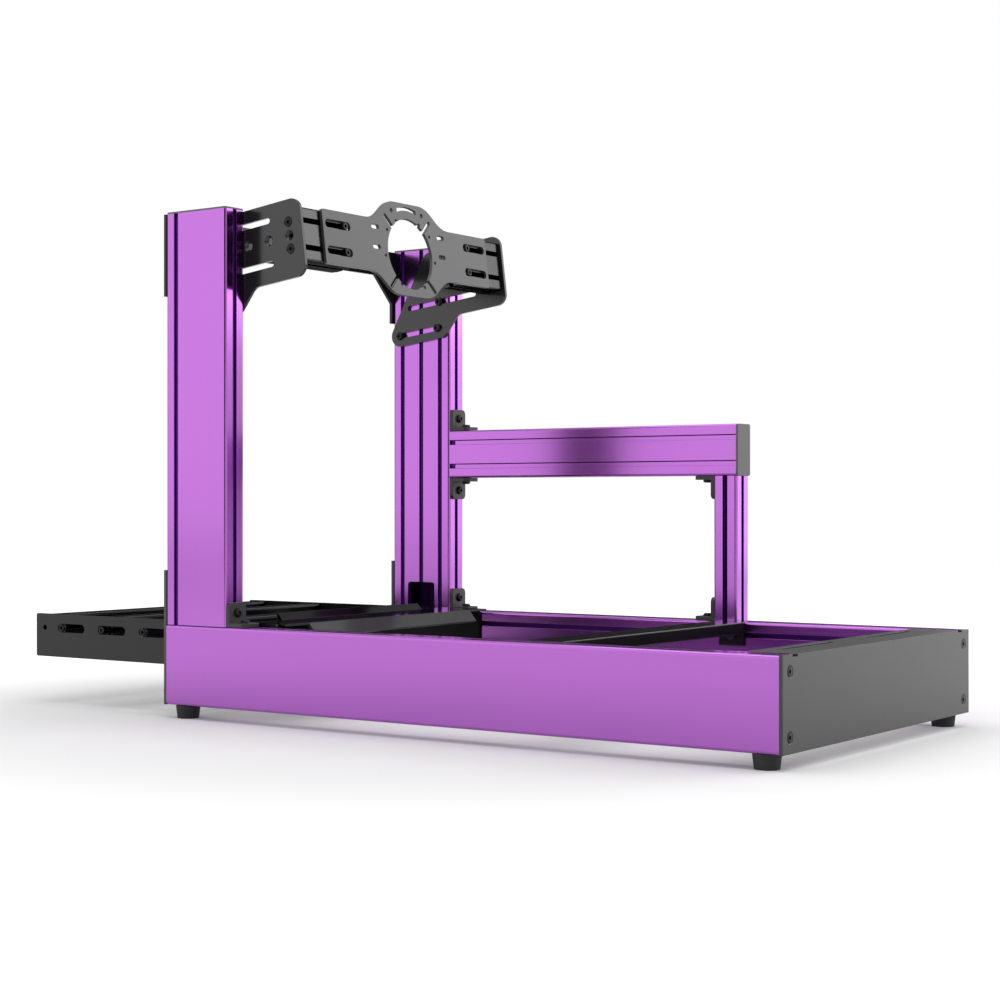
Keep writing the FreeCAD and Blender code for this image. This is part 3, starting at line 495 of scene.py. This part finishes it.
@dataclass
class SocketBolt:
    """A bolt's head with a hexagon socket, modelled once and copied to each place."""

    SLACK: ClassVar[float] = 0.01

    head: Head
    depth: float
    socket: float = 2.9
    finish: BlackOxide = BOLT_STEEL
    around: int = 24
    smooth: float = math.radians(38)

    def __post_init__(self) -> None:
        """Model the head that is copied."""
        self.pattern = self.model()
        self.pattern.data.materials.append(material_of(self.finish))

    def model(self) -> bpy.types.Object:
        """Model the head at the origin, with its axis up.

        Returns:
            The object, which is removed when all the copies are made.
        """
        rings = [(radius * MM, height * MM) for radius, height in self.head.value]
        rim, top = rings[0]
        bpy.ops.object.select_all(action="DESELECT")
        corner = self.socket * MM
        bpy.ops.mesh.primitive_circle_add(vertices=HEX_SIDES, radius=corner, location=(0, 0, top))
        bolt = bpy.context.object
        bpy.ops.object.transform_apply(location=True)
        bpy.ops.object.mode_set(mode="EDIT")
        bpy.ops.mesh.select_all(action="SELECT")
        bpy.ops.mesh.subdivide(number_cuts=self.around // HEX_SIDES - 1)
        bpy.ops.mesh.primitive_circle_add(vertices=self.around, radius=rim, location=(0, 0, top))
        bpy.ops.mesh.select_all(action="SELECT")
        bpy.ops.mesh.bridge_edge_loops()
        choose(bolt, lambda spot: math.hypot(spot.x, spot.y) < corner * (1.0 + self.SLACK))
        down = -self.depth * MM
        bpy.ops.mesh.extrude_region_move(TRANSFORM_OT_translate={"value": (0, 0, down)})
        bpy.ops.mesh.edge_face_add()
        choose(bolt, lambda spot: math.hypot(spot.x, spot.y) > rim * (1.0 - self.SLACK))
        for (inner, high), (outer, low) in zip(rings, rings[1:]):
            growth = outer / inner
            bpy.ops.mesh.extrude_region_move(TRANSFORM_OT_translate={"value": (0, 0, low - high)})
            bpy.ops.transform.resize(value=(growth, growth, 1.0), center_override=(0, 0, 0))
        bpy.ops.mesh.edge_face_add()
        bpy.ops.mesh.select_all(action="SELECT")
        bpy.ops.mesh.normals_make_consistent(inside=False)
        bpy.ops.object.mode_set(mode="OBJECT")
        bpy.ops.object.shade_smooth_by_angle(angle=self.smooth)
        return bolt

    def place(self, name: str, spot: Vector, axis: Vector) -> None:
        """Copy the head to a place.

        Args:
            name: The copy's name.
            spot: Where the head's seat is, in metres.
            axis: Which way the head faces.
        """
        mesh = self.pattern.data.copy()
        turn = Vector((0.0, 0.0, 1.0)).rotation_difference(axis).to_matrix().to_4x4()
        mesh.transform(Matrix.Translation(spot) @ turn)
        bolt = bpy.data.objects.new(name, mesh)
        bpy.context.scene.collection.objects.link(bolt)
        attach(bolt, BODY)
        log.info("bolt %s", name)

    def clear(self) -> None:
        """Remove the head that was copied."""
        bpy.data.objects.remove(self.pattern)


def choose(piece: bpy.types.Object, wanted: Callable[[Vector], bool]) -> None:
    """Select the vertices of a piece in edit mode by their place.

    Args:
        piece: The object that is in edit mode.
        wanted: Tells of a vertex's place whether it is selected.
    """
    cage = bmesh.from_edit_mesh(piece.data)
    for vertex in cage.verts:
        vertex.select_set(False)
    for vertex in cage.verts:
        if wanted(vertex.co):
            vertex.select_set(True)
    cage.select_mode = {"VERT"}
    cage.select_flush_mode()
    bmesh.update_edit_mesh(piece.data)


made_materials: dict[str, bpy.types.Material] = {}


def material_of(finish: Finish) -> bpy.types.Material:
    """Give a finish's material, made once."""
    if finish.name not in made_materials:
        made_materials[finish.name] = finish.material()
    return made_materials[finish.name]


@dataclass
class Workshop:
    """The bolt heads that the sub-assemblies share."""

    def __post_init__(self) -> None:
        """Model each head."""
        self.button = SocketBolt(Head.BUTTON, depth=2.6)
        self.flat = SocketBolt(Head.FLAT, depth=2.8)
        self.cap = SocketBolt(Head.CAP, depth=3.2)

    def clear(self) -> None:
        """Remove the heads once every copy is placed."""
        for bolt in (self.button, self.flat, self.cap):
            bolt.clear()


@dataclass
class SubAssembly:
    """A group of pieces that are dressed and bolted together."""

    shop: Workshop
    leg_hole: float = 21.0 * MM
    leg_gauge: float = 6.0 * MM

    def dress(self, finish: Finish, *nodes: str) -> None:
        """Give pieces of the frame a finish.

        Args:
            finish: The finish.
            nodes: The pieces' names.
        """
        for node in nodes:
            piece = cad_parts[node]
            if not piece.material_slots:
                piece.data.materials.append(None)
            for slot in piece.material_slots:
                slot.material = finish.material_for(node)
            log.info("%s: %s", node, finish.name)

    def corner_bolts(self, bracket: str, along: int, up: int) -> None:
        """Bolt both legs of an angle bracket.

        Args:
            bracket: The bracket's name.
            along: Which way its flat leg runs, along Y.
            up: Which way its other leg runs, along Z.
        """
        low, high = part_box(bracket)
        middle = (low.x + high.x) / 2
        corner_y = low.y if along > 0 else high.y
        corner_z = low.z if up > 0 else high.z
        flat = Vector((middle, corner_y + along * self.leg_hole, corner_z + up * self.leg_gauge))
        tall = Vector((middle, corner_y + along * self.leg_gauge, corner_z + up * self.leg_hole))
        self.shop.button.place(f"{bracket}_flat_bolt", flat, Vector((0, 0, up)))
        self.shop.button.place(f"{bracket}_tall_bolt", tall, Vector((0, along, 0)))


@dataclass
class Chassis(SubAssembly):
    """Rails, feet, end plates and the seat crossbar."""

    rail_rows: Span = (40.0 * MM, 120.0 * MM)
    upright_row: float = 180.0 * MM
    seat_row: float = 120.0 * MM
    tab_gauge: float = 4.0 * MM
    tab_middle: float = 21.5 * MM

    def build(self) -> None:
        """Dress the chassis and add its bolts."""
        self.dress(PURPLE_ALONG, "left_rail", "right_rail")
        self.dress(REAR_COAT, "rear_plate")
        self.dress(LIT_COPY_COAT, "front_plate")
        self.dress(FOLD_COAT, "seat_crossbar")
        self.dress(FOOT_RUBBER, "rear_left_foot", "rear_right_foot",
                   "front_left_foot", "front_right_foot")
        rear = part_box("rear_plate")[0].y
        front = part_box("front_plate")[1].y
        for side in ("left", "right"):
            low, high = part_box(f"{side}_rail")
            middle = (low.x + high.x) / 2
            for number, row in enumerate(self.rail_rows, start=1):
                spot = Vector((middle, rear, row))
                self.shop.flat.place(f"{side}_rear_plate_bolt_{number}", spot, Vector((0, -1, 0)))
            for number, row in enumerate((*self.rail_rows, self.upright_row), start=1):
                spot = Vector((middle, front, row))
                self.shop.flat.place(f"{side}_front_plate_bolt_{number}", spot, Vector((0, 1, 0)))
        self.bolt_seat_bar()

    def bolt_seat_bar(self) -> None:
        """Bolt the seat crossbar's end tabs to the rails."""
        low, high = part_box("seat_crossbar")
        along = low.y + self.tab_middle
        left = Vector((low.x + self.tab_gauge, along, self.seat_row))
        right = Vector((high.x - self.tab_gauge, along, self.seat_row))
        self.shop.button.place("left_seat_bar_bolt", left, Vector((1, 0, 0)))
        self.shop.button.place("right_seat_bar_bolt", right, Vector((-1, 0, 0)))


@dataclass
class Uprights(SubAssembly):
    """Uprights with their caps, foot brackets and cross plate."""

    cross_rows: Span = (652.0 * MM, 735.0 * MM)

    def build(self) -> None:
        """Dress the uprights and add their bolts."""
        self.dress(PURPLE_UP, "left_upright", "right_upright")
        self.dress(GREY_CAP, "left_upright_cap", "right_upright_cap")
        self.dress(CAST_COAT, "left_upright_bracket", "right_upright_bracket")
        self.dress(BLACK_COAT, "front_cross_plate")
        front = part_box("front_cross_plate")[1].y
        for side in ("left", "right"):
            self.corner_bolts(f"{side}_upright_bracket", -1, 1)
            low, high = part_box(f"{side}_upright")
            for number, row in enumerate(self.cross_rows, start=1):
                spot = Vector(((low.x + high.x) / 2, front, row))
                self.shop.flat.place(f"{side}_cross_plate_bolt_{number}", spot, Vector((0, 1, 0)))


@dataclass
class ShifterArm(SubAssembly):
    """Shifter arm on its post, with its brackets."""

    def build(self) -> None:
        """Dress the arm and add its bolts."""
        self.dress(PURPLE_ALONG, "shifter_arm", "shifter_arm_upper_cover", "shifter_arm_lower_cover")
        self.dress(PURPLE_UP, "shifter_post")
        self.dress(GREY_CAP, "shifter_arm_cap")
        for bracket, along, up in (("arm_upper_bracket", -1, 1), ("arm_lower_bracket", -1, -1),
                                   ("post_upper_bracket", 1, -1), ("post_lower_bracket", 1, 1)):
            self.dress(CAST_COAT, bracket)
            self.corner_bolts(bracket, along, up)


@dataclass
class WheelMount(SubAssembly):
    """Tilted wheel mount: its plate, two short beams and two side brackets."""

    face: Span = (113.5 * MM, 714.9 * MM)
    side_inner: float = 250.0 * MM
    side_outer: float = 255.0 * MM
    plate_gauge: float = 5.0 * MM
    plate_bolt: float = 154.0 * MM
    side_bolt: float = 25.0 * MM
    bolt_rise: float = 20.0 * MM
    slot_bolts: tuple[Span, Span, Span] = ((137.0 * MM, -34.5 * MM), (146.0 * MM, -78.0 * MM),
                                           (227.0 * MM, -78.0 * MM))

    def at(self, across: float, reach: float, rise: float) -> Vector:
        """Give a place on the mount.

        Args:
            across: Distance to the right of the middle.
            reach: Distance in front of the plate's face.
            rise: Distance up along the plate.

        Returns:
            The place in the object's frame.
        """
        turn = Matrix.Rotation(-WHEEL_TILT, 3, "X")
        return Vector((0.0, *self.face)) + turn @ Vector((across, reach, rise))

    def build(self) -> None:
        """Dress the wheel mount and add its bolts."""
        self.dress(LIT_COPY_COAT, "wheel_mount_plate")
        self.dress(BRACKET_COAT, "left_wheel_bracket", "right_wheel_bracket")
        self.dress(GREY_ACROSS, "left_wheel_beam", "right_wheel_beam")
        back = self.at(0, -1, 0) - self.at(0, 0, 0)
        for name, sign in (("left", -1), ("right", 1)):
            for level, rise in (("lower", -self.bolt_rise), ("upper", self.bolt_rise)):
                spot = self.at(sign * self.plate_bolt, self.plate_gauge, rise)
                self.shop.cap.place(f"{name}_wheel_plate_{level}_bolt", spot, back)
                spot = self.at(sign * self.side_outer, self.side_bolt, rise)
                self.shop.flat.place(f"{name}_bracket_{level}_bolt", spot, Vector((sign, 0, 0)))
            for number, (reach, rise) in enumerate(self.slot_bolts, start=1):
                spot = self.at(sign * self.side_inner, reach, rise)
                self.shop.button.place(f"{name}_bracket_slot_bolt_{number}", spot, Vector((-sign, 0, 0)))


@dataclass
class PedalDeck(SubAssembly):
    """Pedal deck: its slotted sides, three bars and the heel plate."""

    bolt_row: float = 122.0 * MM
    bolt_places: Triple = (620.0 * MM, 529.0 * MM, 438.0 * MM)

    def build(self) -> None:
        """Dress the pedal deck and add its bolts."""
        self.dress(BLACK_COAT, "left_pedal_side")
        self.dress(SHADED_COPY_COAT, "right_pedal_side")
        self.dress(HEEL_COAT, "heel_plate")
        self.dress(BLACK_ACROSS, "front_pedal_bar", "middle_pedal_bar", "rear_pedal_bar")
        for side, sign in (("left", -1), ("right", 1)):
            low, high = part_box(f"{side}_pedal_side")
            inner = high.x if sign < 0 else low.x
            for number, along in enumerate(self.bolt_places, start=1):
                spot = Vector((inner, along, self.bolt_row))
                self.shop.cap.place(f"{side}_deck_bolt_{number}", spot, Vector((sign, 0, 0)))


@dataclass(frozen=True)
class Panel:
    """A soft lamp panel, with its sizes in metres and its power in watts."""

    name: str
    spot: Place
    target: Place
    wide: float
    tall: float
    power: float

    def hang(self) -> None:
        """Hang the panel, facing its target."""
        data = bpy.data.lights.new(self.name, "AREA")
        data.shape = "RECTANGLE"
        data.size = self.wide
        data.size_y = self.tall
        data.energy = self.power
        lamp = bpy.data.objects.new(self.name, data)
        lamp.location = self.spot
        facing = Vector(self.target) - Vector(self.spot)
        lamp.rotation_euler = facing.to_track_quat("-Z", "Y").to_euler()
        bpy.context.scene.collection.objects.link(lamp)


@dataclass(frozen=True)
class Flag:
    """A dark card that stands upright, faces the cockpit and shows in reflections alone."""

    name: str
    spot: Place
    wide: float
    tall: float
    tint: Colour = (0.02, 0.02, 0.02)

    def stand(self) -> None:
        """Stand the card at its place."""
        bpy.ops.object.select_all(action="DESELECT")
        bpy.ops.mesh.primitive_plane_add(size=1.0, location=self.spot)
        card = bpy.context.object
        card.name = self.name
        card.scale = (self.wide, self.tall, 1.0)
        bearing = math.atan2(self.spot[1], self.spot[0])
        card.rotation_euler = (math.pi / 2, 0.0, bearing + math.pi / 2)
        paint = Paint(self.name)
        matt = paint.value("ShaderNodeBsdfDiffuse", sockets={"Color": (*self.tint, 1.0)})
        paint.node("ShaderNodeOutputMaterial", sockets={"Surface": matt})
        card.data.materials.append(paint.material)
        card.visible_camera = False
        card.visible_diffuse = False
        card.visible_shadow = False


PANELS = (
    Panel("top_panel", (-0.3, 0.0, 3.0), (0.0, 0.0, 0.3), wide=3.0, tall=2.2, power=30.0),
    Panel("left_panel", (-3.0, 2.2, 1.45), (0.0, 0.0, 0.5), wide=3.6, tall=2.6, power=14.0),
    Panel("right_panel", (2.9, -2.3, 2.2), (0.0, 0.0, 0.6), wide=3.4, tall=2.6, power=52.0),
    Panel("right_strip", (3.1, -1.87, 0.75), (0.275, 0.2, 0.5), wide=0.5, tall=1.3, power=2.2),
)
FLAGS = (
    Flag("near_flag", (-4.03, -0.97, 1.2), wide=2.8, tall=3.0),
    Flag("high_flag", (-3.2, -2.7, 1.7), wide=2.4, tall=1.8),
    Flag("far_flag", (2.2, 3.2, 0.95), wide=7.0, tall=1.9),
)


@dataclass
class Studio:
    """Floor, soft light, white surround, dark flags for the reflections, and camera."""

    eye: Place = (-2.38679, -1.7349, 0.32661)
    heading: float = math.radians(-54.9)
    lens: float = 69.80
    clip_end: float = 100.0
    surround: float = 0.64
    floor_size: float = 40.0
    floor_tint: float = 0.85
    # The floor's glow near the cockpit, kept low as painted shade round it.
    shaded_near_glow: float = 0.04
    far_glow: float = 0.47
    painted_shade_reach: Span = (0.6, 1.5)

    @staticmethod
    def seen(shader: Shader) -> Value:
        """Give 1 where the eye, a reflection or clear material looks straight at a surface."""
        path = shader.node("ShaderNodeLightPath")
        kinds = ("Camera", "Glossy", "Transmission")
        camera, glossy, clear = [Value(shader, path.outputs[f"Is {kind} Ray"]) for kind in kinds]
        return (camera + glossy + clear).at_most(1.0)

    def build(self) -> None:
        """Set up the stage."""
        bpy.context.scene.view_settings.view_transform = "Standard"
        self.lay_floor()
        self.surround_white()
        for panel in PANELS:
            panel.hang()
        for flag in FLAGS:
            flag.stand()
        self.set_camera()

    def lay_floor(self) -> None:
        """Lay a pale floor that keeps the cockpit's shadow, with painted shade round the cockpit where
        its glow is weaker.
        """
        bpy.ops.object.select_all(action="DESELECT")
        bpy.ops.mesh.primitive_plane_add(size=self.floor_size)
        floor = bpy.context.object
        floor.name = "floor"
        paint = Paint("pale_floor")
        tint = (self.floor_tint,) * 3
        matt = paint.value("ShaderNodeBsdfDiffuse", sockets={"Color": (*tint, 1.0)})
        # Painted shade: the floor's glow is weaker near the cockpit than far from it, so that the floor
        # round it looks darker.
        reach = paint.value("ShaderNodeVectorMath", {"operation": "LENGTH"}, {0: paint.place}, "Value")
        shade = paint.blend(reach.step(*self.painted_shade_reach), (self.shaded_near_glow,) * 3, (self.far_glow,) * 3)
        glow = paint.value("ShaderNodeEmission", sockets={"Color": shade, "Strength": self.seen(paint)})
        both = paint.value("ShaderNodeAddShader", sockets={0: matt, 1: glow})
        paint.node("ShaderNodeOutputMaterial", sockets={"Surface": both})
        floor.data.materials.append(paint.material)

    def surround_white(self) -> None:
        """Make the surround white to look at and softer as a light."""
        world = bpy.data.worlds.new("studio")
        world.use_nodes = True
        bpy.context.scene.world = world
        sky = Shader(world.node_tree)
        strength = self.seen(sky) * (1.0 - self.surround) + self.surround
        back = sky.value("ShaderNodeBackground", sockets={"Color": (1, 1, 1, 1), "Strength": strength})
        sky.node("ShaderNodeOutputWorld", sockets={"Surface": back})

    def set_camera(self) -> None:
        """Stand the camera where the photograph was taken from."""
        data = bpy.data.cameras.new("camera")
        data.lens = self.lens
        data.clip_end = self.clip_end
        camera = bpy.data.objects.new("camera", data)
        camera.location = self.eye
        camera.rotation_euler = (math.radians(90.0), 0.0, self.heading)
        bpy.context.scene.collection.objects.link(camera)
        bpy.context.scene.camera = camera


def main() -> None:
    """Dress the cockpit, piece by piece, and set up the studio."""
    logging.basicConfig(level=logging.INFO)
    shop = Workshop()
    for kind in (Chassis, Uprights, ShifterArm, WheelMount, PedalDeck):
        log.info("building %s", kind.__name__)
        kind(shop).build()
    shop.clear()
    Studio().build()


if __name__ == "__main__":
    main()
